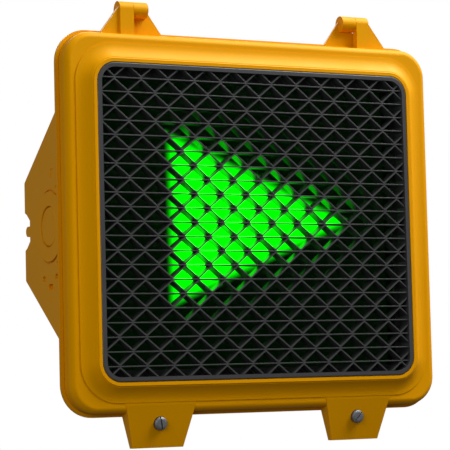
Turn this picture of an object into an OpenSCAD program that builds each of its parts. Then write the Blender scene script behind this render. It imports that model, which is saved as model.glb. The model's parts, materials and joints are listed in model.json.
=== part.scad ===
// Pedestrian signal head: a hump-backed case, a top-hinged door, an egg-crate visor and a lit arrow module.
// +Z is up and the lit face looks along -Y. The origin is the middle of the case, on the side pipe axis.

/* [Case] */
// Width of the case across its rim
case_w = 515; // [412:1:618]
// Height of the case across its rim
case_h = 466; // [388:1:559]
// Depth from the front lip to the back wall
case_depth = 192; // [160:1:230]
// Thickness of the cast walls
wall = 3.2; // [2.6:0.1:4.0]
// Radius of the rim's corners
corner_r = 40; // [33:1:48]
// Half the height of the flat back wall
back_half_h = 57; // [48:1:68]
// Height of the shoulder where the back starts to slope, above and below the middle
shoulder_half_h = 141; // [118:1:169]
// Radius of the pipe entry in each side wall
pipe_entry_r = 25.4; // [21:0.1:30.5]

/* [Door] */
// Depth of the door from its lip to the parting plane
door_depth = 30; // [26:0.5:36]
// Width of the door's face between the visor opening and the rim's edge
band = 41.4; // [38:0.1:46]
// Distance from the rim's edge to the hinge axis
hinge_rise = 28; // [24:0.5:33]
// Radius of the hinge knuckles
knuckle_r = 10; // [8.5:0.5:12]
// Radius of the hinge pins
hinge_pin_r = 3; // [2.5:0.1:3.6]
// Distance of each hinge's parting line from the middle
hinge_x = 157.4; // [131:1:188]
// Distance of each latch screw from the middle
latch_x = 137; // [115:1:164]
// Radius of the latch screws' shanks
screw_r = 3.95; // [3.3:0.05:4.7]

/* [Visor] */
// Number of straight louvres
louvre_count = 21; // [17:2:25]
// Depth of the visor's louvres
louvre_depth = 16; // [13:0.5:18]
// Thickness of the louvres' sheet
louvre_t = 1.6; // [1.3:0.1:1.9]
// Width of the visor's rim
visor_rim = 6; // [5:0.5:7]

/* [Light] */
// Height of the lit triangle
symbol_h = 231; // [193:1:277]
// Length of the lit triangle
symbol_w = 264; // [220:1:300]
// Depth of the light module's case
module_depth = 26; // [25:0.5:28]

/* [Hidden] */
$fn = 64;

// Clearances
fit_gap = 0.1;        // a seated part in its pocket
parting_gap = 0.1;    // door to housing
visor_gap = 0.3;      // visor in the door's well
pin_gap = 0.06;       // running fit of the hinge pins in the door's knuckles
knuckle_gap = 0.4;    // between the two halves of a hinge
latch_gap = 0.55;     // round a latch screw's shank
bite = 1;             // how far parts of one casting run into each other

// Case
rim_t = 6;
rim_half = [case_w / 2, case_h / 2];
pan_inset = 14;                                   // side walls stand this far inside the rim
pan_half = [rim_half.x - pan_inset, rim_half.y - pan_inset + 6];
pan_r = corner_r - 10;
pan_back = door_depth + 36;                       // depth of the shallow pan round the hump
draft = 4.5;                                      // how far the side walls lean in at the back
axis_y = case_depth / 2;                          // depth of the pipe axis
boss_r = pipe_entry_r + 17.6;
boss_x = pan_half.x - 0.5;                        // flat outer face of the side bosses
boss_t = 10;
notch_half_h = 23;
notch_depth = 25;
notch_w = 20;
notch_flare = 4;                                  // each notch is this much wider at the back wall
notch_rib_half_h = 6.5;
groove_w = 2.4;                                   // round grooves of the side bosses

// Door
skirt_inset = 4.4;                                // the rim shows this much outside the door
door_half = [rim_half.x - skirt_inset, rim_half.y - skirt_inset];
door_r = corner_r - skirt_inset;
flange_y = 10;                                    // depth of the door's flat outer step
visor_half = [rim_half.x - band, rim_half.y - band];
visor_r = 24;
lip_w = 5.5;
lip_bevel = 1.2;
cove_w = 24.6;
cove_y = 9;
cove_r = 25.7;
seat_y = 24;
seat_t = 3;
seat_in = 12;                                     // seat width inside the visor's edge
door_back = door_depth - parting_gap;
hinge_z = rim_half.y + hinge_rise;
pin_reach = 14;                                   // how far a pin runs into the door's knuckle
door_knuckle = 18;
case_knuckle = 19.4;
leaf_step = 3;                                    // the door leaf stands this far behind its knuckle
leaf_spread = 47;                                 // how far each leaf spreads from the hinge's parting line
leaf_lap = 6;                                     // how far the case's leaf runs on behind the door's

// Latches
latch_z = -rim_half.y - 9;
tab_bottom = -hinge_z - knuckle_r;                // as far below the middle as the hinges reach above it
door_front_r = 8;                                 // rounding of the door's front edge
tab_top = -visor_half.y - 24;
tab_top_half = 47;
tab_foot_half = 33.5;
tab_face_top = 9.6;                               // depth of the tab's face where it leaves the flange
tab_face_bottom = 21.5;
tab_seat = 17.6;                                  // depth of the screw's spot face
lug_r = 10;
lug_end = door_depth + 20;
insert_r = 6;
washer_r = 7;
washer_t = 1.6;
head_r = 7.9;
head_gap = 0.8;                                   // round the head in its spot face
head_h = 6.5;
head_dome = 1.5;
slot_w = 1.8;
slot_depth = 2.5;
screw_end = door_depth + 12;

// Visor lattice
inner_half = [visor_half.x - visor_rim, visor_half.y - visor_rim];
inner_r = visor_r - visor_rim;
louvre_pitch = 2 * inner_half.y / (louvre_count + 0.46);
strip_period = louvre_pitch * 2.058;
strip_shift = 2.5;                                // the lattice sits a little right of the middle
strip_flat = 1.6;
louvre_y = 1.5;
visor_foot = 14;                                  // width of the inward foot at the visor's back
visor_foot_t = 3;

// Lens and light module
lens_inset = 6.5;
lens_half = [visor_half.x - lens_inset, visor_half.y - lens_inset];
lens_r = visor_r - lens_inset;
lens_gasket_t = 1.5;
lens_t = 3;
lens_y = seat_y + seat_t + lens_gasket_t;
module_y = lens_y + lens_t;
module_inset = 9;
module_half = [visor_half.x - module_inset, visor_half.y - module_inset];
module_r = visor_r - module_inset;
module_wall = 2.5;
mask_y = 44.2;
mask_t = 2;
symbol_cx = 22;
symbol_cz = 6.5;
symbol_round = 9;
board_y = 50;
board_t = 1.6;
driver_y = 62;
cover_y = module_y + module_depth;
cover_t = 2;
driver_box_half = [76, 50];                       // raised box on the module's back cover
driver_box_r = 8;
driver_box_y = cover_y + 22;
gland_z = -37;
clip_y = module_y + 3;
clip_out = 14;
clip_boss_r = 4.5;
clip_boss_out = 8;                                // clip screws stand this far outside the visor's edge
clip_boss_y = 6;
clip_screw_r = 2;
led_pitch = 15;
led_r = 2.5;

// Places that repeat
sides = [-1, 1];
visor_screw_spots = [for (x = [-1, -1/3, 1/3, 1], z = sides)
  [x * (visor_half.x - 40), z * (visor_half.y - 3)]];
clip_spots = [for (x = [-0.62, 0, 0.62], z = sides)
  [x * visor_half.x, z * (visor_half.y + clip_boss_out)]];
cover_screw_spots = [for (x = [-1, 0, 1], z = sides)
  [x * (module_half.x - 12), z * (module_half.y - 12)]];
standoff_spots = [for (x = sides, z = sides) [x * 54, z * 34]];
plug_screw_angles = [90, 210, 330];
terminal_ways = 6;
terminal_pitch = 14;

// ---- Shape helpers: y runs from the lip to the back, as depth ----

// Puts a model drawn from the lip back into the part's frame
module from_lip() { translate([0, -case_depth / 2, 0]) children(); }

// Extrudes an outline drawn as seen from the front, from depth y0 to y1
module plate(y0, y1) {
  translate([0, y0, 0]) rotate([-90, 0, 0]) linear_extrude(y1 - y0) mirror([0, 1]) children();
}

// Extrudes a side profile, drawn as depth and height, from x0 to x1
module across(x0, x1) { translate([x0, 0, 0]) rotate([90, 0, 90]) linear_extrude(x1 - x0) children(); }

// A rod along the depth
module rod(x, z, r, y0, y1) { translate([x, y0, z]) rotate([-90, 0, 0]) cylinder(h = y1 - y0, r = r); }

// A rod along the width at one depth and height
module cross_rod(y, z, r, x0, x1) {
  translate([x0, y, z]) rotate([0, 90, 0]) cylinder(h = x1 - x0, r = r);
}

// A block between two corners
module block(low, high) { translate(low) cube(high - low); }

module rounded_rect(half, r) {
  square([2 * half.x, 2 * (half.y - r)], center = true);
  square([2 * (half.x - r), 2 * half.y], center = true);
  for (x = sides, y = sides) translate([x * (half.x - r), y * (half.y - r)]) circle(r);
}

// Sweeps a profile round a rounded rectangle. The profile's x is the distance out from the corner axes
module swept_ring(half, r) {
  axes = [half.x - r, half.y - r];
  rotate([-90, 0, 0]) for (i = [0:3]) {
    a = axes[i % 2];
    b = axes[(i + 1) % 2];
    rotate([0, 0, 90 * i]) translate([a, b, 0]) {
      rotate_extrude(angle = 90) children();
      rotate([90, 0, 0]) linear_extrude(2 * b) children();
    }
  }
}

// A rounded block whose front or back edge is also rounded
module rounded_slab(half, r, y0, y1, front_edge = 0, back_edge = 0) {
  plate(y0 + front_edge, y1 - back_edge) rounded_rect(half, r);
  if (front_edge > 0) edge_course(half, r, y0, y0 + front_edge, y0 + front_edge, front_edge);
  if (back_edge > 0) edge_course(half, r, y1 - back_edge, y1, y1 - back_edge, back_edge);
}

// One rounded course of a slab: a flat middle and a quarter-round edge centred at depth yc
module edge_course(half, r, y0, y1, yc, edge) {
  plate(y0, y1) rounded_rect(half - [edge, edge], r - edge);
  swept_ring(half, r) intersection() {
    translate([r - edge, yc]) circle(edge);
    translate([r - edge, y0]) square([edge, y1 - y0]);
  }
}

// A flat ring between two rounded outlines
module rounded_ring(outer, outer_r, inner, inner_r, y0, y1) {
  difference() {
    plate(y0, y1) rounded_rect(outer, outer_r);
    plate(y0 - 1, y1 + 1) rounded_rect(inner, inner_r);
  }
}

// ---- Housing ----

// The hump seen from the side: slopes above and below a flat back wall
module hump_side(inset) {
  y0 = door_depth + 6;
  polygon([
    [y0, shoulder_half_h - inset], [pan_back, shoulder_half_h - inset],
    [case_depth - inset, back_half_h - inset / 2], [case_depth - inset, -back_half_h + inset / 2],
    [pan_back, -shoulder_half_h + inset], [y0, -shoulder_half_h + inset]]);
}

// The hump seen from above: side walls that lean in to rounded back corners
module hump_plan(inset) {
  y0 = door_depth + 6;
  r = 9 - inset;
  side = pan_half.x - inset;
  back = case_depth - inset;
  polygon([[-side, y0], [side, y0], [side - draft, back - r], [-side + draft, back - r]]);
  translate([-side + draft + r, back - r - 0.5]) square([2 * (side - draft - r), r + 0.5]);
  for (x = sides) translate([x * (side - draft - r), back - r]) circle(r);
}

// Pan and hump as one closed volume, shrunk by inset
module case_volume(inset) {
  rounded_slab(pan_half - [inset, inset], pan_r - inset, door_depth + 3, pan_back - inset,
    back_edge = 6 - inset / 2);
  intersection() {
    across(-pan_half.x, pan_half.x) hump_side(inset);
    translate([0, 0, -shoulder_half_h]) linear_extrude(2 * shoulder_half_h) hump_plan(inset);
  }
}

// The strap notch in each rear corner, or the cast pocket round it when grown
module strap_notches(grow) {
  for (x = sides) {
    outer = x * (pan_half.x + 2 - (grow > 0 ? 4 + draft : 0));
    inner = x * (pan_half.x - draft - notch_w - grow);
    across(min(outer, inner), max(outer, inner)) polygon(notch_side(grow));
  }
}

// A strap notch seen from the side: it narrows in two steps towards its floor
function notch_side(grow) = let (half = [for (p = [
    [case_depth + (grow > 0 ? -wall : 1), notch_half_h + notch_flare],
    [case_depth - notch_depth * 0.56, notch_half_h - notch_flare / 2],
    [case_depth - notch_depth - grow, notch_half_h - notch_w / 2]]) [p.x, p.y + grow]])
  concat(half, [for (p = reversed(half)) [p.x, -p.y]]);

// The rib that divides each strap notch, with a rounded nose
module strap_ribs() {
  nose = notch_rib_half_h;
  for (x = sides) {
    inner = x * (pan_half.x - draft - notch_w - bite);
    outer = x * (pan_half.x - draft - 2);
    low = min(inner, outer);
    high = max(inner, outer);
    block([low, case_depth - notch_depth - bite, -nose], [high, case_depth - 5 - nose, nose]);
    cross_rod(case_depth - 5 - nose, 0, nose, low, high);
  }
}

// Round boss on each side wall, for the pipe entries
module side_bosses() {
  for (x = sides) mirror([x < 0 ? 1 : 0, 0, 0]) cross_rod(axis_y, 0, boss_r, boss_x - boss_t, boss_x);
}

// A slot with round ends cut into a side wall, from x0 to x1
module side_slot(y, z, half_length, r, x0, x1) {
  for (end = sides) cross_rod(y + end * (half_length - r), z, r, x0, x1);
  block([x0, y - half_length + r, z - r], [x1, y + half_length - r, z + r]);
}

// Small cast recesses round the side bosses
module side_recesses() {
  for (x = sides) mirror([x < 0 ? 1 : 0, 0, 0]) {
    low = pan_half.x - 6.5;
    high = pan_half.x + 2;
    for (z = sides) side_slot(axis_y - 24, z * 46, 3.4, 2.4, low + 3.5, high);
    side_slot(axis_y - 22, -62, 5.5, 3.4, low, high);
    side_slot(axis_y + 22, -63, 5, 3.4, low, high);
    side_slot(axis_y - 1, -74, 8, 3.8, low, high);
    block([low + 4, axis_y - 14, 60], [high, axis_y - 4, 70]);
  }
}

// A round groove outside each side boss
module boss_grooves() {
  for (x = sides) mirror([x < 0 ? 1 : 0, 0, 0]) difference() {
    cross_rod(axis_y, 0, boss_r + groove_w, boss_x - 3.2, boss_x + 3);
    cross_rod(axis_y, 0, boss_r, boss_x - 4, boss_x + 4);
  }
}

// Backing inside the side walls, so that the recesses and grooves stay blind
module recess_backing() {
  for (x = sides) mirror([x < 0 ? 1 : 0, 0, 0]) {
    block([pan_half.x - 9.5, axis_y - 32, -84], [pan_half.x - draft, axis_y + 30, -boss_r + 8]);
    cross_rod(axis_y, 0, boss_r + 4, boss_x - 6.5, boss_x - 4);
  }
}

// Hinge leaf and knuckle of the housing, on one side
module case_hinge(x) {
  edge = hinge_x - knuckle_gap;
  mirror([x < 0 ? 1 : 0, 0, 0]) {
    plate(door_depth + 2, door_depth + rim_t)
      polygon([[edge + leaf_lap, rim_half.y - 8], [edge + leaf_lap, hinge_z - knuckle_r - knuckle_gap],
        [edge, hinge_z - knuckle_r - knuckle_gap], [edge, hinge_z - 2], [edge - case_knuckle, hinge_z + 3],
        [edge - leaf_spread, rim_half.y - 8]]);
    cross_rod(door_depth, hinge_z, knuckle_r, edge - case_knuckle, edge);
  }
}

module latch_lug(x) {
  rod(x, latch_z, lug_r, door_depth, lug_end);
  block([x - lug_r, door_depth, latch_z], [x + lug_r, door_depth + rim_t, -rim_half.y + 6]);
  block([x - 4, door_depth + 2, latch_z], [x + 4, lug_end, -pan_half.y + 1]);
}

// Pads inside the back wall for the terminal block and the ground screw
module back_pads() {
  pad_front = case_depth - wall - 6;
  for (x = sides) rod(x * 52, 0, 6, pad_front, case_depth - 1);
  rod(110, 0, 7, pad_front, case_depth - 1);
}

module housing() {
  color([0.90, 0.62, 0.02]) from_lip() difference() {
    union() {
      difference() {
        union() {
          rounded_slab(rim_half, corner_r, door_depth, door_depth + rim_t, back_edge = 2);
          case_volume(0);
        }
        difference() {
          union() {
            case_volume(wall);
            plate(door_depth - 1, door_depth + rim_t + 4)
              rounded_rect(pan_half - [wall, wall], pan_r - wall);
          }
          strap_notches(wall);
        }
      }
      side_bosses();
      recess_backing();
      back_pads();
      for (x = sides) {
        case_hinge(x);
        latch_lug(x * latch_x);
      }
    }
    difference() {
      strap_notches(0);
      strap_ribs();
    }
    gasket_ring(0);
    cross_rod(axis_y, 0, pipe_entry_r, -rim_half.x, rim_half.x);
    side_recesses();
    boss_grooves();
    for (x = sides) {
      mirror([x < 0 ? 1 : 0, 0, 0])
        cross_rod(door_depth, hinge_z, hinge_pin_r + 0.02, hinge_x - 30, hinge_x);
      rod(x * latch_x, latch_z, insert_r + 0.02, door_depth - 1, lug_end - 3);
      rod(x * 52, 0, 1.8, case_depth - wall - 7, case_depth - 2);
    }
    rod(110, 0, 2.2, case_depth - wall - 7, case_depth - 2);
    plug_screw_holes();
  }
}

// The gasket in its groove in the rim, shrunk by gap
module gasket_ring(gap) {
  outer = 4.2 + gap;
  inner = 9.6 - gap;
  rounded_ring(rim_half - [outer, outer], corner_r - outer, rim_half - [inner, inner], corner_r - inner,
    gap > 0 ? door_depth : door_depth - 1, door_depth + 2.5);
}

module door_gasket() { color([0.12, 0.12, 0.12]) from_lip() gasket_ring(fit_gap); }

module screw_inserts() {
  color([0.78, 0.6, 0.3]) from_lip() for (x = sides) difference() {
    rod(x * latch_x, latch_z, insert_r, door_depth + 1, door_depth + 15);
    rod(x * latch_x, latch_z, screw_r + latch_gap, door_depth, door_depth + 16);
  }
}

module hinge_pins() {
  color([0.85, 0.6, 0.05]) from_lip() for (x = sides) {
    inner = hinge_x - knuckle_gap - case_knuckle;
    outer = hinge_x + pin_reach;
    cross_rod(door_depth, hinge_z, hinge_pin_r, x > 0 ? inner : -outer, x > 0 ? outer : -inner);
  }
}

// ---- Left side closure ----

plug_in = boss_x - boss_t;
plug_sunk = 0.5;                                  // the plug's face stands this far inside the boss's

module plug_screw_holes() {
  for (a = plug_screw_angles)
    cross_rod(axis_y + cos(a) * 32, sin(a) * 32, 1.6, -plug_in - 6, -plug_in + 1);
}

module side_plug() {
  flange_r = 37;
  color([0.66, 0.44, 0.02]) from_lip() difference() {
    union() {
      cross_rod(axis_y, 0, pipe_entry_r - visor_gap, -boss_x + plug_sunk + groove_w, -plug_in + 4);
      translate([-boss_x + plug_sunk, axis_y, 0]) rotate([0, 90, 0])
        cylinder(h = groove_w, r1 = pipe_entry_r - groove_w, r2 = pipe_entry_r - visor_gap);
      cross_rod(axis_y, 0, flange_r, -plug_in + 1.5, -plug_in + 4.5);
    }
    cross_rod(axis_y, 0, pipe_entry_r - 4, -plug_in - 4, -plug_in + 5);
    for (a = plug_screw_angles)
      cross_rod(axis_y + cos(a) * 32, sin(a) * 32, 1.8, -plug_in, -plug_in + 6);
  }
}

module side_plug_gasket() {
  color([0.1, 0.1, 0.1]) from_lip() difference() {
    cross_rod(axis_y, 0, 37, -plug_in, -plug_in + 1.5);
    cross_rod(axis_y, 0, pipe_entry_r, -plug_in - 1, -plug_in + 2.5);
    for (a = plug_screw_angles)
      cross_rod(axis_y + cos(a) * 32, sin(a) * 32, 1.8, -plug_in - 1, -plug_in + 3);
  }
}

module side_plug_screws() {
  color([0.6, 0.6, 0.6]) from_lip() for (a = plug_screw_angles) {
    y = axis_y + cos(a) * 32;
    z = sin(a) * 32;
    cross_rod(y, z, 1.5, -plug_in - 5, -plug_in + 5);
    cross_rod(y, z, 3, -plug_in + 4.5, -plug_in + 6.5);
  }
}

// ---- Wiring parts ----

terminal_y1 = case_depth - wall - 6;
terminal_half = [terminal_ways * terminal_pitch / 2 + 18, 15];
terminal_spots = [for (i = [0:terminal_ways - 1], z = sides)
  [(i - (terminal_ways - 1) / 2) * terminal_pitch, z * 8]];

module terminal_block() {
  color([0.1, 0.1, 0.1]) from_lip() difference() {
    union() {
      block([-terminal_half.x, terminal_y1 - 6, -terminal_half.y],
        [terminal_half.x, terminal_y1, terminal_half.y]);
      for (i = [0:terminal_ways]) {
        x = (i - terminal_ways / 2) * terminal_pitch;
        block([x - 1.2, terminal_y1 - 18, -terminal_half.y], [x + 1.2, terminal_y1 - 5, terminal_half.y]);
      }
    }
    for (p = terminal_spots) rod(p.x, p.y, 2.1, terminal_y1 - 7, terminal_y1 - 2);
    for (x = sides) rod(x * 52, 0, 2.1, terminal_y1 - 7, terminal_y1 + 1);
  }
}

// A pan-head screw driven towards the back
module back_screw(x, z, r, head, y_head, y_tip) {
  rod(x, z, r, y_head, y_tip);
  difference() {
    rod(x, z, head, y_head - 0.6 * head, y_head);
    block([x - head, y_head - 0.6 * head - 1, z - 0.5], [x + head, y_head - 0.25 * head, z + 0.5]);
  }
}

module terminal_screws() {
  color([0.8, 0.66, 0.3]) from_lip() for (p = terminal_spots)
    back_screw(p.x, p.y, 2, 3.8, terminal_y1 - 6, terminal_y1 - 2.2);
}

module terminal_mount_screws() {
  color([0.6, 0.6, 0.6]) from_lip() for (x = sides)
    back_screw(x * 52, 0, 1.75, 3.6, terminal_y1 - 6, terminal_y1 + 6);
}

module ground_screw() {
  color([0.1, 0.5, 0.2]) from_lip() back_screw(110, 0, 2.1, 5, terminal_y1, terminal_y1 + 6);
}

// ---- Door ----

// The raised collar round the visor: a lip, then a cove that runs out to the flange
module collar_profile(inset) {
  r = visor_r + cove_w - inset;
  lip = visor_r + lip_w - inset / 2;
  difference() {
    polygon([[0, inset], [lip - lip_bevel, inset], [lip, lip_bevel + inset], [r, lip_bevel + inset],
      [r, door_depth], [0, door_depth]]);
    translate([visor_r + cove_w, cove_y - cove_r]) circle(cove_r + inset, $fn = 128);
  }
}

// Collar, flange and skirt as one closed volume, shrunk by inset
module door_volume(inset) {
  swept_ring(visor_half, visor_r) collar_profile(inset);
  rounded_slab(door_half - [inset, inset], door_r - inset, flange_y + inset,
    door_back + (inset > 0 ? 1 : 0), front_edge = door_front_r - inset / 2);
}

module door_hinge_leaf(x) {
  edge = hinge_x;
  top = rim_half.y;
  mirror([x < 0 ? 1 : 0, 0, 0]) {
    plate(door_depth - knuckle_r + leaf_step, door_back)
      polygon([[edge, top - 14], [edge, hinge_z - 2], [edge + door_knuckle, hinge_z + 3],
        [edge + leaf_spread, top - 8], [edge + leaf_spread, top - 14]]);
    block([edge, door_depth - knuckle_r, top - 14], [edge + door_knuckle, door_back, hinge_z]);
    cross_rod(door_depth, hinge_z, knuckle_r, edge, edge + door_knuckle);
  }
}

// Latch tab: leaves the flange flush with its face and slopes back to its lower edge
module latch_tab(x) {
  flange_edge = -door_half.y + door_front_r;
  intersection() {
    plate(0, door_back)
      polygon([for (p = [[-tab_top_half, tab_top], [tab_top_half, tab_top], [tab_foot_half, tab_bottom],
        [-tab_foot_half, tab_bottom]]) [x + p.x, p.y]]);
    across(x - tab_top_half - 1, x + tab_top_half + 1)
      polygon([[tab_face_top, tab_top + 1], [tab_face_top, flange_edge], [tab_face_bottom, tab_bottom],
        [door_depth, tab_bottom], [door_depth, tab_top + 1]]);
  }
}

module clip_bosses() {
  for (p = clip_spots) rod(p.x, p.y, clip_boss_r, clip_boss_y, clip_y);
}

module door_frame() {
  color([0.92, 0.64, 0.02]) from_lip() difference() {
    union() {
      difference() {
        union() {
          door_volume(0);
          for (x = sides) {
            door_hinge_leaf(x);
            latch_tab(x * latch_x);
          }
        }
        door_volume(wall);
      }
      plate(0.8, door_back - 2) rounded_rect(visor_half + [wall, wall], visor_r + wall);
      clip_bosses();
    }
    plate(-1, seat_y) rounded_rect(visor_half + [visor_gap, visor_gap], visor_r + visor_gap);
    plate(0, door_depth) rounded_rect(visor_half - [seat_in, seat_in], visor_r - seat_in);
    plate(seat_y + seat_t, door_depth)
      rounded_rect(visor_half + [visor_gap, visor_gap], visor_r + visor_gap);
    for (p = visor_screw_spots) rod(p.x, p.y, 1.7, seat_y - 1, seat_y + seat_t + 1);
    for (p = clip_spots) rod(p.x, p.y, clip_screw_r - 0.2, flange_y + 8, clip_y + 1);
    for (x = sides) {
      mirror([x < 0 ? 1 : 0, 0, 0])
        cross_rod(door_depth, hinge_z, hinge_pin_r + pin_gap, hinge_x - 1, hinge_x + pin_reach + 0.5);
      rod(x * latch_x, latch_z, screw_r + latch_gap, 5, door_depth + 1);
      rod(x * latch_x, latch_z, head_r + head_gap, 5, tab_seat);
    }
  }
}

module lock_washer(x) {
  difference() {
    rod(x, latch_z, washer_r, tab_seat - washer_t, tab_seat);
    rod(x, latch_z, screw_r + 0.2, tab_seat - washer_t - 1, tab_seat + 1);
  }
}

module left_lock_washer() { color([0.45, 0.45, 0.45]) from_lip() lock_washer(-latch_x); }
module right_lock_washer() { color([0.45, 0.45, 0.45]) from_lip() lock_washer(latch_x); }

// A round-headed slotted screw, with its slot turned by slot_angle
module door_screw(x, slot_angle) {
  seat = tab_seat - washer_t;
  front = seat - head_h;
  rod(x, latch_z, screw_r, seat - 1, screw_end);
  difference() {
    union() {
      rod(x, latch_z, head_r, front + head_dome, seat);
      translate([x, front, latch_z]) rotate([-90, 0, 0])
        cylinder(h = head_dome, r1 = head_r - 2 * head_dome, r2 = head_r);
    }
    translate([x, front, latch_z]) rotate([0, slot_angle, 0])
      cube([slot_w, 2 * slot_depth, 3 * head_r], center = true);
  }
}

module left_door_screw() { color([0.4, 0.4, 0.42]) from_lip() door_screw(-latch_x, -8); }
module right_door_screw() { color([0.4, 0.4, 0.42]) from_lip() door_screw(latch_x, 45); }

// ---- Visor ----

module visor_frame() {
  color([0.13, 0.13, 0.14]) from_lip() difference() {
    rounded_slab(visor_half, visor_r, 0, seat_y, front_edge = 2);
    plate(-1, seat_y - visor_foot_t) rounded_rect(inner_half, inner_r);
    plate(0, seat_y + 1) rounded_rect(visor_half - [visor_foot, visor_foot], visor_r - visor_foot);
    for (p = visor_screw_spots) rod(p.x, p.y, 1.5, seat_y - 8, seat_y + 1);
  }
}

// Clips a lattice sheet to the visor's inner outline
module inside_visor() {
  intersection() {
    children();
    plate(louvre_y, louvre_y + louvre_depth)
      rounded_rect(inner_half - [fit_gap, fit_gap], inner_r - fit_gap);
  }
}

half_count = (louvre_count - 1) / 2;

module straight_louvres() {
  color([0.12, 0.12, 0.13]) from_lip() for (k = [-half_count:half_count]) inside_visor()
    block([-inner_half.x - 1, louvre_y, k * louvre_pitch - louvre_t / 2],
      [inner_half.x + 1, louvre_y + louvre_depth, k * louvre_pitch + louvre_t / 2]);
}

// One edge of a zigzag strip, shifted up by dz, with its peaks at x = phase * period
function zigzag(phase, low, high, dz) = [
  for (n = [-8:8], q = [0, 1, 2, 3])
    let (x = strip_shift + (n + phase) * strip_period, f = strip_flat / 2, h = strip_period / 2)
    [x + [-f, f, h - f, h + f][q], (q < 2 ? high : low) + dz]];

function reversed(list) = [for (i = [len(list) - 1:-1:0]) list[i]];

module zigzag_louvres() {
  sheet = louvre_t * 1.5;
  color([0.12, 0.12, 0.13]) from_lip() for (k = [-half_count - 1:half_count]) {
    low = k * louvre_pitch + louvre_t / 2 + 0.02;
    high = (k + 1) * louvre_pitch - louvre_t / 2 - 0.02;
    phase = abs(k) % 2 == 0 ? 0 : 0.5;
    inside_visor() plate(louvre_y, louvre_y + louvre_depth)
      polygon(concat(zigzag(phase, low + sheet, high, 0), reversed(zigzag(phase, low, high - sheet, 0))));
  }
}

module visor_screws() {
  color([0.5, 0.5, 0.5]) from_lip() for (p = visor_screw_spots) {
    rod(p.x, p.y, 1.45, seat_y - 7, seat_y + seat_t);
    rod(p.x, p.y, 2.8, seat_y + seat_t, seat_y + seat_t + 1.8);
  }
}

// ---- Lens and light module ----

module lens_gasket() {
  color([0.08, 0.08, 0.08]) from_lip()
    rounded_ring(lens_half, lens_r, visor_half - [seat_in, seat_in], visor_r - seat_in, seat_y + seat_t,
      lens_y);
}

module lens() {
  color([0.5, 0.55, 0.55, 0.3]) from_lip() plate(lens_y, module_y) rounded_rect(lens_half, lens_r);
}

// Points along an arc about centre c, from angle a0 to a1
function corner_arc(c, a0, a1, r, steps = 12) =
  [for (k = [0:steps]) let (a = a0 + (a1 - a0) * k / steps) c + r * [cos(a), sin(a)]];

// A right-pointing triangle with rounded corners
module arrow_outline(grow) {
  r = symbol_round + grow;
  x0 = symbol_cx - symbol_w / 2 + symbol_round;
  z0 = symbol_h / 2 - symbol_round;
  tip = x0 + symbol_w - 2 * symbol_round;
  lean = atan2(z0, tip - x0);
  translate([0, symbol_cz]) polygon(concat(corner_arc([x0, -z0], 180, 270 + lean, r),
    corner_arc([tip, 0], lean - 90, 90 - lean, r), corner_arc([x0, z0], 90 - lean, 180, r)));
}

module symbol_mask() {
  color([0.03, 0.03, 0.03]) from_lip() difference() {
    plate(mask_y, mask_y + mask_t)
      rounded_rect(module_half - [module_wall + fit_gap, module_wall + fit_gap], module_r - module_wall);
    plate(mask_y - 1, mask_y + mask_t + 1) arrow_outline(fit_gap);
  }
}

module symbol_diffuser() {
  color([0, 1, 0.05]) from_lip() plate(mask_y + 0.2, mask_y + mask_t) arrow_outline(0);
}

module led_board() {
  color([0.05, 0.25, 0.1]) from_lip() plate(board_y, board_y + board_t)
    rounded_rect(module_half - [module_wall + 0.5, module_wall + 0.5], module_r - module_wall);
}

led_rows = floor(symbol_h / 2 / led_pitch - 0.6);

module leds() {
  color([0.7, 1, 0.7]) from_lip() for (row = [-led_rows:led_rows]) {
    z = row * led_pitch;
    reach = (symbol_w - 2 * symbol_round) * (1 - abs(z) / (symbol_h / 2));
    for (x = [symbol_cx - symbol_w / 2 + 12:led_pitch:symbol_cx - symbol_w / 2 + 12 + reach])
      rod(x, z + symbol_cz, led_r, board_y - 3, board_y);
  }
}

module driver_board() {
  color([0.1, 0.3, 0.15]) from_lip() difference() {
    block([-60, driver_y, -40], [60, driver_y + board_t, 40]);
    for (p = standoff_spots) rod(p.x, p.y, 1.6, driver_y - 1, driver_y + board_t + 1);
  }
}

module driver_parts() {
  color([0.2, 0.2, 0.25]) from_lip() {
    y = driver_y + board_t;
    block([-44, y, -24], [-20, y + 8, 2]);
    block([24, y, -16], [40, y + 6, 12]);
    rod(-4, -18, 5, y, y + 8);
    rod(8, -18, 5, y, y + 8);
    rod(-8, 14, 4, y, y + 6);
    rod(6, 16, 3, y, y + 3);
  }
}

module module_case() {
  flange = [2.4, 2.4];
  color([0.1, 0.1, 0.1]) from_lip() difference() {
    union() {
      plate(module_y, cover_y) rounded_rect(module_half, module_r);
      plate(module_y, clip_y) rounded_rect(module_half + flange, module_r + 2.4);
    }
    plate(module_y - 1, cover_y + 1)
      rounded_rect(module_half - [module_wall, module_wall], module_r - module_wall);
  }
}

module module_back_cover() {
  color([0.14, 0.14, 0.14]) from_lip() difference() {
    union() {
      difference() {
        union() {
          plate(cover_y, cover_y + cover_t) rounded_rect(module_half, module_r);
          plate(cover_y + bite, driver_box_y) rounded_rect(driver_box_half, driver_box_r);
        }
        plate(cover_y - 1, driver_box_y - cover_t)
          rounded_rect(driver_box_half - [cover_t, cover_t], driver_box_r - cover_t);
      }
      for (p = cover_screw_spots) rod(p.x, p.y, 4, board_y + board_t, cover_y + bite);
      for (p = standoff_spots) rod(p.x, p.y, 3, driver_y + board_t, driver_box_y - bite);
    }
    for (p = cover_screw_spots) rod(p.x, p.y, 1.6, board_y, cover_y + cover_t + 1);
    rod(0, gland_z, 8.1, driver_box_y - cover_t - 1, driver_box_y + 1);
  }
}

module cover_screws() {
  color([0.6, 0.6, 0.6]) from_lip() for (p = cover_screw_spots) {
    rod(p.x, p.y, 1.5, board_y + board_t + 1, cover_y + cover_t);
    rod(p.x, p.y, 3, cover_y + cover_t, cover_y + cover_t + 2);
  }
}

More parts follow.
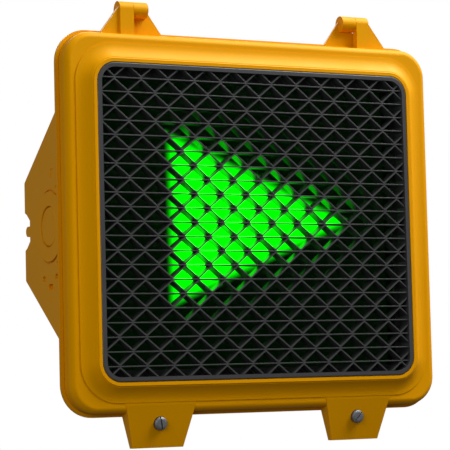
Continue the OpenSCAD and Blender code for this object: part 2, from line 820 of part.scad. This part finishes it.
module cable_gland() {
  color([0.12, 0.12, 0.12]) from_lip() difference() {
    union() {
      rod(0, gland_z, 8, driver_box_y - 6, driver_box_y + 14);
      rod(0, gland_z, 11, driver_box_y, driver_box_y + 5);
      rod(0, gland_z, 10, driver_box_y + 7, driver_box_y + 14);
    }
    rod(0, gland_z, 4, driver_box_y - 7, driver_box_y + 15);
  }
}

// Bent clips that hold the module's flange down
module module_clips() {
  color([0.6, 0.6, 0.6]) from_lip() for (p = clip_spots) {
    outer = sign(p.y) * (visor_half.y + clip_out);
    inner = sign(p.y) * (module_half.y + 0.4);
    difference() {
      block([p.x - 8, clip_y, min(outer, inner)], [p.x + 8, clip_y + 2, max(outer, inner)]);
      rod(p.x, p.y, clip_screw_r + 0.3, clip_y - 1, clip_y + 3);
    }
  }
}

module clip_screws() {
  color([0.55, 0.55, 0.55]) from_lip() for (p = clip_spots) {
    rod(p.x, p.y, clip_screw_r - 0.25, flange_y + 9, clip_y + 2);
    rod(p.x, p.y, 3.6, clip_y + 2, clip_y + 4.2);
  }
}

housing();
door_gasket();
screw_inserts();
hinge_pins();
side_plug();
side_plug_gasket();
side_plug_screws();
terminal_block();
terminal_screws();
terminal_mount_screws();
ground_screw();
door_frame();
left_lock_washer();
right_lock_washer();
left_door_screw();
right_door_screw();
visor_frame();
straight_louvres();
zigzag_louvres();
visor_screws();
lens_gasket();
lens();
symbol_mask();
symbol_diffuser();
led_board();
leds();
driver_board();
driver_parts();
module_case();
module_back_cover();
cover_screws();
cable_gland();
module_clips();
clip_screws();
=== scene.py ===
"""Pedestrian signal head: finishes, finer pieces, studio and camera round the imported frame."""

from __future__ import annotations

import json
import logging
import math
from dataclasses import dataclass
from enum import Enum

import bmesh
import bpy
from mathutils import Matrix, Vector

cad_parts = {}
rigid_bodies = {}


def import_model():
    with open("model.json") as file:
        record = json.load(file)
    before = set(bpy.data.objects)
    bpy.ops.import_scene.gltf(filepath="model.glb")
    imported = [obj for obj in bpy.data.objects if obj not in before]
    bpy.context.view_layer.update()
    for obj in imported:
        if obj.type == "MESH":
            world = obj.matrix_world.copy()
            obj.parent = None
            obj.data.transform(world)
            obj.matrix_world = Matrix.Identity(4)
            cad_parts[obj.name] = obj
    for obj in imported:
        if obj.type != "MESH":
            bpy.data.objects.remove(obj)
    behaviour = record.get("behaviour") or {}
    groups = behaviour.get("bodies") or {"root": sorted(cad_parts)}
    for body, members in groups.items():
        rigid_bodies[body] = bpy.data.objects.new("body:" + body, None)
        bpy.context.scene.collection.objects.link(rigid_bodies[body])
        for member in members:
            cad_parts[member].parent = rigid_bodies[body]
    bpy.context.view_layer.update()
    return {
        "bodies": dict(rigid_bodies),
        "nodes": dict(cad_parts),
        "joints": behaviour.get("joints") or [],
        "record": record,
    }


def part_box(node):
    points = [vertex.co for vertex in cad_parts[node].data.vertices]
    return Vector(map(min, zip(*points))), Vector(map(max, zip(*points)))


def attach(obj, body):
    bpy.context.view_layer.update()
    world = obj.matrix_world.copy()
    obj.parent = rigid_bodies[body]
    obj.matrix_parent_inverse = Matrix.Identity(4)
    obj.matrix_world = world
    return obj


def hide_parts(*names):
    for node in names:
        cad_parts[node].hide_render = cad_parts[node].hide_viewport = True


LOG = logging.getLogger("signal_head")
MM = 0.001
WELD_MM = 0.002       # CAD vertices closer than this are one
FLAT_ANGLE = 0.6      # degrees: faces that turn less are joined into one
CREASE_ANGLE = 38.0   # degrees: edges that turn more stay sharp


class Side(Enum):
    """The two sides of the head, as seen from the front."""

    LEFT = -1
    RIGHT = 1


def linear_colour(code: str) -> tuple[float, float, float, float]:
    """Turns an sRGB hex colour to linear light.

    Args:
        code: Six hex digits, such as "E8A000".

    Returns:
        Red, green, blue and an alpha of 1.
    """
    channels = [int(code[i:i + 2], 16) / 255 for i in (0, 2, 4)]
    linear = [c / 12.92 if c <= 0.04045 else ((c + 0.055) / 1.055) ** 2.4 for c in channels]
    return (*linear, 1.0)


def add_node(
    tree: bpy.types.NodeTree,
    kind: str,
    settings: dict | None = None,
    values: dict | None = None,
    links: dict | None = None,
) -> bpy.types.Node:
    """Adds a shader node with its settings, socket values and incoming links.

    Args:
        tree: The node tree it goes in.
        kind: The node's type name.
        settings: Attributes of the node.
        values: Socket name or number to its constant.
        links: Socket name or number to the output that feeds it.

    Returns:
        The new node.
    """
    node = tree.nodes.new(kind)
    for name, value in (settings or {}).items():
        setattr(node, name, value)
    for key, value in (values or {}).items():
        node.inputs[key].default_value = value
    for key, socket in (links or {}).items():
        tree.links.new(socket, node.inputs[key])
    return node


@dataclass(frozen=True)
class Finish:
    """A surface finish with a fine grain, a soft colour drift and a varying gloss.

    Sizes are in millimetres. A grain of 0 height leaves the surface smooth.
    """

    name: str
    colour: str
    second_colour: str
    roughness: float
    roughness_spread: float = 0.04
    metallic: float = 0.0
    ior: float = 1.5
    grain_mm: float = 1.0
    grain_height_mm: float = 0.01
    drift_mm: float = 60.0
    specular: float = 0.5
    sheen_tint: str = "FFFFFF"
    alpha: float = 1.0

    def material(self) -> bpy.types.Material:
        """Builds the finish, or finds it if it is there already.

        Returns:
            The material.
        """
        found = bpy.data.materials.get(self.name)
        if found:
            return found
        made = bpy.data.materials.new(self.name)
        made.use_nodes = True
        tree = made.node_tree
        tree.nodes.clear()
        place = add_node(tree, "ShaderNodeTexCoord").outputs["Object"]
        shader = add_node(tree, "ShaderNodeBsdfPrincipled", values=self.constants())
        add_node(tree, "ShaderNodeOutputMaterial", links={"Surface": shader.outputs[0]})
        self.colouring(tree, shader, place)
        self.gloss(tree, shader, place)
        self.relief(tree, shader, place)
        return made

    def constants(self) -> dict[str, object]:
        """Lists the shader's values that are the same all over.

        Returns:
            Socket name to value.
        """
        fixed: dict[str, object] = {"Metallic": self.metallic, "Alpha": self.alpha}
        if self.metallic < 0.5:
            fixed.update({
                "IOR": self.ior, "Specular IOR Level": self.specular,
                "Specular Tint": linear_colour(self.sheen_tint),
            })
        return fixed

    def colouring(
        self, tree: bpy.types.NodeTree, shader: bpy.types.Node, place: bpy.types.NodeSocket
    ) -> None:
        """Drifts the colour slowly between the two tones.

        Args:
            tree: The material's node tree.
            shader: Its principled shader.
            place: The object's own coordinates.
        """
        drift = add_node(
            tree, "ShaderNodeTexNoise",
            values={"Scale": 1000 / self.drift_mm, "Detail": 3.0, "Roughness": 0.55},
            links={"Vector": place},
        )
        mix = add_node(
            tree, "ShaderNodeMix", settings={"data_type": "RGBA"},
            values={6: linear_colour(self.colour), 7: linear_colour(self.second_colour)},
            links={0: drift.outputs["Fac"]},
        )
        tree.links.new(mix.outputs[2], shader.inputs["Base Color"])

    def gloss(
        self, tree: bpy.types.NodeTree, shader: bpy.types.Node, place: bpy.types.NodeSocket
    ) -> None:
        """Varies the roughness in broad, faint patches, as handling and dust do.

        Args:
            tree: The material's node tree.
            shader: Its principled shader.
            place: The object's own coordinates.
        """
        patches = add_node(
            tree, "ShaderNodeTexNoise",
            values={"Scale": 2600 / self.drift_mm, "Detail": 2.0}, links={"Vector": place},
        )
        spread = add_node(
            tree, "ShaderNodeMapRange",
            values={
                "From Min": 0.3, "From Max": 0.7,
                "To Min": self.roughness - self.roughness_spread,
                "To Max": self.roughness + self.roughness_spread,
            },
            links={"Value": patches.outputs["Fac"]},
        )
        tree.links.new(spread.outputs["Result"], shader.inputs["Roughness"])

    def relief(
        self, tree: bpy.types.NodeTree, shader: bpy.types.Node, place: bpy.types.NodeSocket
    ) -> None:
        """Raises the fine grain.

        Args:
            tree: The material's node tree.
            shader: Its principled shader.
            place: The object's own coordinates.
        """
        if self.grain_height_mm <= 0:
            return
        grain = add_node(
            tree, "ShaderNodeTexNoise",
            values={"Scale": 1000 / self.grain_mm, "Detail": 2.0, "Roughness": 0.5},
            links={"Vector": place},
        )
        bump = add_node(
            tree, "ShaderNodeBump",
            values={"Strength": 1.0, "Distance": self.grain_height_mm * MM},
            links={"Height": grain.outputs["Fac"]},
        )
        tree.links.new(bump.outputs["Normal"], shader.inputs["Normal"])


@dataclass(frozen=True)
class RolledMetal(Finish):
    """Bare metal whose grain is drawn out along one axis by rolling or brushing."""

    stretch: tuple[float, float, float] = (1.0, 0.06, 1.0)

    def relief(
        self, tree: bpy.types.NodeTree, shader: bpy.types.Node, place: bpy.types.NodeSocket
    ) -> None:
        """Raises the drawn-out grain.

        Args:
            tree: The material's node tree.
            shader: Its principled shader.
            place: The object's own coordinates.
        """
        drawn = add_node(
            tree, "ShaderNodeMapping", values={"Scale": self.stretch}, links={"Vector": place}
        )
        super().relief(tree, shader, drawn.outputs["Vector"])


@dataclass(frozen=True)
class TurnedMetal(Finish):
    """Bare metal turned on a lathe, with rings about an axis along the depth."""

    centre: tuple[float, float, float] = (0.0, 0.0, 0.0)
    ring_mm: float = 0.9

    def relief(
        self, tree: bpy.types.NodeTree, shader: bpy.types.Node, place: bpy.types.NodeSocket
    ) -> None:
        """Cuts the tool's rings, drawn coarser than the real feed so that they show.

        Args:
            tree: The material's node tree.
            shader: Its principled shader.
            place: The object's own coordinates.
        """
        moved = add_node(
            tree, "ShaderNodeMapping", values={"Location": [-c for c in self.centre]},
            links={"Vector": place},
        )
        rings = add_node(
            tree, "ShaderNodeTexWave",
            settings={"wave_type": "RINGS", "rings_direction": "Y"},
            values={"Scale": 1000 / self.ring_mm / (2 * math.pi) * 2, "Distortion": 0.6},
            links={"Vector": moved.outputs["Vector"]},
        )
        bump = add_node(
            tree, "ShaderNodeBump",
            values={"Strength": 0.6, "Distance": self.grain_height_mm * MM},
            links={"Height": rings.outputs["Fac"]},
        )
        tree.links.new(bump.outputs["Normal"], shader.inputs["Normal"])


@dataclass(frozen=True)
class LitPlastic(Finish):
    """Translucent plastic lit from behind, which fades out at the outline's edges.

    The outline is a triangle: corners in metres, as (x, z).
    """

    light: str = "00FF00"
    strength: float = 8.0
    corners: tuple[tuple[float, float], ...] = ()
    fade_mm: float = 38.0

    def colouring(
        self, tree: bpy.types.NodeTree, shader: bpy.types.Node, place: bpy.types.NodeSocket
    ) -> None:
        """Colours the plastic, and lights it with the fade at each edge.

        Args:
            tree: The material's node tree.
            shader: Its principled shader.
            place: The object's own coordinates.
        """
        super().colouring(tree, shader, place)
        shader.inputs["Emission Color"].default_value = linear_colour(self.light)
        shader.inputs["Emission Strength"].default_value = self.strength
        nearest: bpy.types.NodeSocket | None = None
        for i, (x, z) in enumerate(self.corners):
            nx, nz = self.corners[(i + 1) % len(self.corners)]
            inward = Vector((-(nz - z), 0.0, nx - x)).normalized()
            reach = add_node(
                tree, "ShaderNodeVectorMath", settings={"operation": "DOT_PRODUCT"},
                values={1: inward}, links={0: place},
            )
            distance = add_node(
                tree, "ShaderNodeMath", settings={"operation": "SUBTRACT"},
                values={1: inward.x * x + inward.z * z}, links={0: reach.outputs["Value"]},
            )
            if nearest is None:
                nearest = distance.outputs[0]
            else:
                least = add_node(
                    tree, "ShaderNodeMath", settings={"operation": "MINIMUM"},
                    links={0: nearest, 1: distance.outputs[0]},
                )
                nearest = least.outputs[0]
        if nearest is None:
            return
        fade = add_node(
            tree, "ShaderNodeMapRange", settings={"interpolation_type": "SMOOTHSTEP"},
            values={"From Min": 0.0, "From Max": self.fade_mm * MM,
                    "To Min": 0.0, "To Max": self.strength},
            links={"Value": nearest},
        )
        tree.links.new(fade.outputs["Result"], shader.inputs["Emission Strength"])


@dataclass(frozen=True)
class CircuitBoard(Finish):
    """Glass-epoxy board under solder mask, with raised copper tracks."""

    track_mm: float = 3.0

    def relief(
        self, tree: bpy.types.NodeTree, shader: bpy.types.Node, place: bpy.types.NodeSocket
    ) -> None:
        """Raises square-cornered tracks under the mask.

        Args:
            tree: The material's node tree.
            shader: Its principled shader.
            place: The object's own coordinates.
        """
        tracks = add_node(
            tree, "ShaderNodeTexVoronoi",
            settings={"distance": "MANHATTAN", "feature": "F1"},
            values={"Scale": 1000 / self.track_mm / 2}, links={"Vector": place},
        )
        step = add_node(
            tree, "ShaderNodeMapRange", values={"From Min": 0.42, "From Max": 0.5},
            links={"Value": tracks.outputs["Distance"]},
        )
        bump = add_node(
            tree, "ShaderNodeBump", values={"Strength": 0.7, "Distance": 0.06 * MM},
            links={"Height": step.outputs["Result"]},
        )
        tree.links.new(bump.outputs["Normal"], shader.inputs["Normal"])


# Powder coat on die-cast aluminium: a satin skin with a faint orange peel that softens highlights
CASE_COAT = Finish(
    "powder_coat_on_cast_aluminium", "EAA100", "E49A00", roughness=0.48, roughness_spread=0.03,
    grain_mm=2.2, grain_height_mm=0.012, drift_mm=90, specular=0.3, sheen_tint="FFC000",
)
# The same coat over turned pins: a little smoother, because the metal under it is
PIN_COAT = Finish(
    "powder_coat_on_steel_pin", "E39700", "DE9200", roughness=0.4, specular=0.3,
    grain_mm=1.8, grain_height_mm=0.006, drift_mm=40,
)
# Moulded ABS: fine spark-eroded texture, which turns highlights into a soft grey sheen
VISOR_ABS = Finish(
    "black_abs_moulded", "464648", "404042", roughness=0.36, roughness_spread=0.05,
    grain_mm=0.9, grain_height_mm=0.01, drift_mm=50, ior=1.53,
)
# Extruded polycarbonate sheet with a flat black coat: kills sun glare, so nearly no sheen
LOUVRE_SHEET = Finish(
    "black_polycarbonate_sheet", "404141", "3B3C3C", roughness=0.38, roughness_spread=0.05,
    grain_mm=0.8, grain_height_mm=0.006, drift_mm=35,
)
# Clear polycarbonate with a faint surface gloss; its faint dark green veil is painted shade, standing
# in for the dark space behind it
LENS_PAINTED_SHADE = Finish(
    "clear_polycarbonate_lens", "0A120C", "0A140D", roughness=0.16, roughness_spread=0.02,
    grain_mm=3.0, grain_height_mm=0.0, drift_mm=80, ior=1.58, alpha=0.1,
)
# Flat black enamel on the light module's mask: dark, with a faint painted green glow all over,
# standing in for the symbol's light spilling into the module
MASK_ENAMEL_PAINTED_GLOW = LitPlastic(
    "flat_black_enamel", "07100A", "060C08", roughness=0.8, grain_mm=0.7, grain_height_mm=0.01,
    # painted glow: the enamel itself emits this faint green light
    strength=0.0035,
)
# EPDM rubber: dull, with a dusty bloom
RUBBER = Finish(
    "epdm_rubber", "1E1E1E", "262626", roughness=0.78, grain_mm=0.8, grain_height_mm=0.03,
    drift_mm=25,
)
# Glass-filled nylon: slightly fibrous and dull
NYLON = Finish(
    "glass_filled_nylon", "191919", "202020", roughness=0.55, grain_mm=0.6, grain_height_mm=0.02,
    drift_mm=20,
)
# Phenolic moulding of the terminal block: harder and glossier than nylon
PHENOLIC = Finish(
    "phenolic_moulding", "141414", "1A1A1A", roughness=0.35, grain_mm=0.9, grain_height_mm=0.01,
    drift_mm=30, ior=1.6,
)
# Stainless steel, rolled: a soft streaky gleam
STAINLESS = RolledMetal(
    "stainless_steel", "A6A6A4", "9A9A98", roughness=0.32, metallic=1.0, grain_mm=0.5,
    grain_height_mm=0.01, drift_mm=12,
)
# Spring steel strip: darker, with an oily blue-grey cast
SPRING_STEEL = RolledMetal(
    "spring_steel", "7A7C80", "6E7074", roughness=0.36, metallic=1.0, grain_mm=0.6,
    grain_height_mm=0.01, drift_mm=15,
)
# Machined brass: warm, slightly dulled
BRASS = RolledMetal(
    "machined_brass", "C9A45A", "B8924C", roughness=0.3, metallic=1.0, grain_mm=0.4,
    grain_height_mm=0.01, drift_mm=10,
)
# Anodised green screw that marks the earth terminal
GREEN_DYED = Finish(
    "green_dyed_zinc", "1F7A3A", "1A6C32", roughness=0.35, metallic=0.9, grain_mm=0.5,
    grain_height_mm=0.006, drift_mm=10,
)
# Solder mask over glass-epoxy
BOARD = CircuitBoard(
    "green_solder_mask", "0E3B1E", "0B341A", roughness=0.32, grain_mm=1.0, drift_mm=40,
)
# Clear epoxy of the lamps, glowing green
LED_EPOXY = LitPlastic(
    "lit_green_epoxy", "60E070", "58D868", roughness=0.15, grain_height_mm=0.0, strength=2.0,
    light="30FF40",
)
# Moulded black case of the light module
MODULE_ABS = Finish(
    "module_abs", "1C1C1E", "202022", roughness=0.5, grain_mm=1.2, grain_height_mm=0.025,
    drift_mm=60,
)
# Epoxy-dipped electronic components
COMPONENT_EPOXY = Finish(
    "component_epoxy", "22283A", "1C2232", roughness=0.3, grain_mm=0.8, grain_height_mm=0.01,
    drift_mm=15,
)


def latch_steel(side: Side) -> TurnedMetal:
    """Makes the turned steel of a latch screw, dulled by weather, with rings about its own axis.

    Args:
        side: The screw's side.

    Returns:
        The finish.
    """
    low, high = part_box(f"{side.name.lower()}_door_screw")
    middle = (low + high) / 2
    return TurnedMetal(
        f"turned_stainless_{side.name.lower()}", "8A8C90", "7E8084", roughness=0.45, metallic=0.7,
        grain_height_mm=0.03, drift_mm=6, centre=tuple(middle),
    )


def dress(piece: bpy.types.Object, finish: Finish) -> None:
    """Gives a piece one finish all over.

    Args:
        piece: The piece.
        finish: Its finish.
    """
    piece.data.materials.clear()
    piece.data.materials.append(finish.material())


@dataclass
class Builder:
    """What every sub-assembly shares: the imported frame, and how a finished piece is handed over."""

    frame: dict

    def merged_copy(self, node: str) -> bmesh.types.BMesh:
        """Copies a CAD node's surface as one joined mesh, with its flat areas as single faces.

        Args:
            node: The CAD node.

        Returns:
            The copy.
        """
        bm = bmesh.new()
        bm.from_mesh(self.frame["nodes"][node].data)
        bmesh.ops.remove_doubles(bm, verts=bm.verts, dist=WELD_MM * MM)
        bmesh.ops.dissolve_limit(
            bm, angle_limit=math.radians(FLAT_ANGLE), verts=bm.verts, edges=bm.edges
        )
        return bm

    def eased_copy(
        self, node: str, edge_mm: float, segments: int = 2, least_angle: float = 35.0
    ) -> bmesh.types.BMesh:
        """A merged copy of a CAD node with its sharp edges rounded over.

        Args:
            node: The CAD node.
            edge_mm: How far back each edge is eased.
            segments: Steps in each round.
            least_angle: Edges that turn less than this many degrees stay as they are.

        Returns:
            The eased mesh.
        """
        bm = self.merged_copy(node)
        sharp = [
            e for e in bm.edges
            if len(e.link_faces) == 2 and e.calc_face_angle() > math.radians(least_angle)
        ]
        bmesh.ops.bevel(
            bm, geom=sharp, offset=edge_mm * MM, offset_type="OFFSET", affect="EDGES",
            segments=segments, profile=0.5, material=-1, clamp_overlap=True,
        )
        return bm

    def hand_over(
        self,
        bm: bmesh.types.BMesh,
        name: str,
        body: str,
        finish: Finish,
        slot: str,
        stands_for: tuple[str, ...] = (),
    ) -> bpy.types.Object:
        """Makes a mesh into a finished piece that rides on its body.

        Args:
            bm: The mesh, which is freed.
            name: The piece's name.
            body: The CAD body it rides on.
            finish: Its finish.
            slot: The record's material slot; not used.
            stands_for: CAD nodes that it replaces.

        Returns:
            The piece.
        """
        for face in bm.faces:
            face.smooth = True
        for edge in bm.edges:
            if len(edge.link_faces) == 2 and edge.calc_face_angle() > math.radians(CREASE_ANGLE):
                edge.smooth = False
        mesh = bpy.data.meshes.new(name)
        bm.to_mesh(mesh)
        bm.free()
        piece = bpy.data.objects.new(name, mesh)
        bpy.context.scene.collection.objects.link(piece)
        weighted = piece.modifiers.new("even_normals", "WEIGHTED_NORMAL")
        weighted.keep_sharp = True
        dress(piece, finish)
        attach(piece, body)
        if stands_for:
            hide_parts(*stands_for)
        LOG.info("made %s", name)
        return piece

    def refinish(self, finishes: dict[str, Finish]) -> None:
        """Gives carried-over CAD nodes their finishes.

        Args:
            finishes: CAD node to finish.
        """
        for node, finish in finishes.items():
            dress(self.frame["nodes"][node], finish)
            LOG.info("finished %s", node)


@dataclass
class Casework(Builder):
    """The cast housing and door, with their pins, gasket and plug."""

    edge_mm: float = 1.1

    def build(self) -> None:
        """Eases the castings' edges and coats them."""
        housing = self.eased_copy("housing", self.edge_mm)
        self.hand_over(housing, "housing_casting", "case", CASE_COAT, "case_paint", ("housing",))
        door = self.eased_copy("door_frame", self.edge_mm)
        self.hand_over(door, "door_casting", "door", CASE_COAT, "case_paint", ("door_frame",))
        plug = self.eased_copy("side_plug", 0.8)
        self.hand_over(plug, "side_closure", "case", CASE_COAT, "plug_paint", ("side_plug",))
        self.refinish({
            "hinge_pins": PIN_COAT, "door_gasket": RUBBER, "side_plug_gasket": RUBBER,
            "side_plug_screws": STAINLESS, "screw_inserts": BRASS,
        })


@dataclass
class Latches(Builder):
    """The two slotted screws that hold the door shut, with their washers."""

    def build(self) -> None:
        """Eases and finishes each screw and washer."""
        for side in Side:
            word = side.name.lower()
            steel = latch_steel(side)
            screw = self.eased_copy(f"{word}_door_screw", 0.35, segments=3)
            self.hand_over(
                screw, f"{word}_latch_screw", f"{word}_screw", steel, "latch_steel",
                (f"{word}_door_screw",),
            )
            dress(self.frame["nodes"][f"{word}_lock_washer"], STAINLESS)


@dataclass
class EggCrateVisor(Builder):
    """The black visor: a moulded rim round straight and zigzag louvres."""

    def build(self) -> None:
        """Eases the rim and the louvres, whose front edges catch the light."""
        rim = self.eased_copy("visor_frame", 0.5)
        self.hand_over(rim, "visor_rim", "door", VISOR_ABS, "visor_plastic", ("visor_frame",))
        straight = self.eased_copy("straight_louvres", 0.35)
        self.hand_over(
            straight, "visor_straight_louvres", "door", LOUVRE_SHEET, "louvre_plastic",
            ("straight_louvres",),
        )
        zigzag = self.eased_copy("zigzag_louvres", 0.35, least_angle=60)
        self.hand_over(
            zigzag, "visor_zigzag_louvres", "door", LOUVRE_SHEET, "louvre_plastic",
            ("zigzag_louvres",),
        )
        self.refinish({"visor_screws": STAINLESS})


@dataclass
class LightModule(Builder):
    """The lens, the lit arrow and the module behind them."""

    def build(self) -> None:
        """Finishes the module's pieces, and lights the arrow."""
        low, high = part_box("symbol_diffuser")
        corners = ((low.x, low.z), (high.x + 0.012, (low.z + high.z) / 2), (low.x, high.z))
        lit = LitPlastic(
            "lit_green_polycarbonate", "003806", "003004", roughness=0.6, grain_height_mm=0.0,
            corners=corners,
        )
        self.refinish({
            "lens": LENS_PAINTED_SHADE, "lens_gasket": RUBBER, "symbol_mask": MASK_ENAMEL_PAINTED_GLOW,
            "symbol_diffuser": lit, "led_board": BOARD, "leds": LED_EPOXY, "driver_board": BOARD,
            "driver_parts": COMPONENT_EPOXY, "cover_screws": STAINLESS, "cable_gland": NYLON,
            "module_clips": SPRING_STEEL, "clip_screws": STAINLESS, "module_case": MODULE_ABS,
        })
        cover = self.eased_copy("module_back_cover", 0.6)
        self.hand_over(
            cover, "module_cover", "door", MODULE_ABS, "module_plastic", ("module_back_cover",)
        )


@dataclass
class Wiring(Builder):
    """The terminal block and its screws, inside the back of the case."""

    def build(self) -> None:
        """Finishes the wiring parts."""
        self.refinish({
            "terminal_block": PHENOLIC, "terminal_screws": BRASS,
            "terminal_mount_screws": STAINLESS, "ground_screw": GREEN_DYED,
        })


@dataclass
class Studio:
    """The floor, the soft lights and the camera."""

    floor_z: float = -0.9
    floor_radius: float = 1.2
    camera_at: tuple[float, float, float] = (-1.1592, -2.2620, -0.1864)
    forward: tuple[float, float, float] = (0.45442, 0.88761, 0.07510)
    upward: tuple[float, float, float] = (-0.01212, -0.07814, 0.99687)
    lens_mm: float = 159.77
    backdrop: float = 1.0
    sky: float = 0.3
    ground: float = 0.09

    def build(self) -> None:
        """Sets the stage."""
        self.lay_floor()
        self.light_world()
        self.area_light("key", (1.64, -0.84, 2.34), 2.0, 154.0)
        self.area_light("fill", (-2.3, -1.8, 0.5), 1.6, 22.0)
        self.area_light("back", (0.6, 2.7, 1.5), 1.6, 45.0)
        self.set_camera()
        bpy.context.scene.view_settings.view_transform = "Standard"

    def lay_floor(self) -> None:
        """A pale round floor below the head."""
        bm = bmesh.new()
        bmesh.ops.create_circle(bm, cap_ends=True, segments=96, radius=self.floor_radius)
        bmesh.ops.translate(bm, vec=(0, 0, self.floor_z), verts=bm.verts)
        mesh = bpy.data.meshes.new("floor")
        bm.to_mesh(mesh)
        bm.free()
        floor = bpy.data.objects.new("floor", mesh)
        bpy.context.scene.collection.objects.link(floor)
        dress(floor, Finish("pale_floor", "F4F4F4", "F2F2F2", roughness=0.9, grain_height_mm=0.0))
        floor.visible_diffuse = False
        floor.visible_glossy = False

    def light_world(self) -> None:
        """A white backdrop that lights the head faintly, and more from above than from below."""
        world = bpy.data.worlds.new("studio")
        bpy.context.scene.world = world
        world.use_nodes = True
        tree = world.node_tree
        tree.nodes.clear()
        seen = add_node(
            tree, "ShaderNodeBackground",
            values={"Color": (1.0, 1.0, 1.0, 1.0), "Strength": self.backdrop},
        )
        aim = add_node(tree, "ShaderNodeTexCoord")
        height = add_node(
            tree, "ShaderNodeSeparateXYZ", links={"Vector": aim.outputs["Object"]}
        )
        level = add_node(
            tree, "ShaderNodeMapRange", settings={"interpolation_type": "SMOOTHSTEP"},
            values={"From Min": -0.4, "From Max": 0.8, "To Min": self.ground, "To Max": self.sky},
            links={"Value": height.outputs["Z"]},
        )
        glow = add_node(
            tree, "ShaderNodeBackground", values={"Color": (1.0, 1.0, 1.0, 1.0)},
            links={"Strength": level.outputs["Result"]},
        )
        path = add_node(tree, "ShaderNodeLightPath")
        mix = add_node(
            tree, "ShaderNodeMixShader",
            links={0: path.outputs["Is Camera Ray"], 1: glow.outputs[0], 2: seen.outputs[0]},
        )
        add_node(tree, "ShaderNodeOutputWorld", links={"Surface": mix.outputs[0]})

    def area_light(
        self, name: str, place: tuple[float, float, float], size: float, watts: float
    ) -> None:
        """Hangs a soft square light that looks at the head.

        Args:
            name: The light's name.
            place: Where it hangs, in metres.
            size: Its side, in metres.
            watts: Its power.
        """
        data = bpy.data.lights.new(name, "AREA")
        data.size = size
        data.energy = watts
        lamp = bpy.data.objects.new(name, data)
        lamp.location = place
        lamp.rotation_euler = (-Vector(place)).to_track_quat("-Z", "Y").to_euler()
        bpy.context.scene.collection.objects.link(lamp)

    def set_camera(self) -> None:
        """A long lens from the head's left, a little below its middle."""
        data = bpy.data.cameras.new("camera")
        data.sensor_width = 36.0
        data.lens = self.lens_mm
        data.clip_end = 30.0
        camera = bpy.data.objects.new("camera", data)
        forward = Vector(self.forward).normalized()
        right = forward.cross(Vector(self.upward)).normalized()
        up = right.cross(forward)
        turn = Matrix((right, up, -forward)).transposed().to_4x4()
        camera.matrix_world = Matrix.Translation(Vector(self.camera_at)) @ turn
        bpy.context.scene.collection.objects.link(camera)
        bpy.context.scene.camera = camera


def main() -> None:
    """Loads the frame, builds each sub-assembly and sets the studio."""
    logging.basicConfig(level=logging.INFO, format="%(name)s: %(message)s")
    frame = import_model()
    for part in (Casework, Latches, EggCrateVisor, LightModule, Wiring):
        part(frame).build()
    Studio().build()


if __name__ == "__main__":
    main()
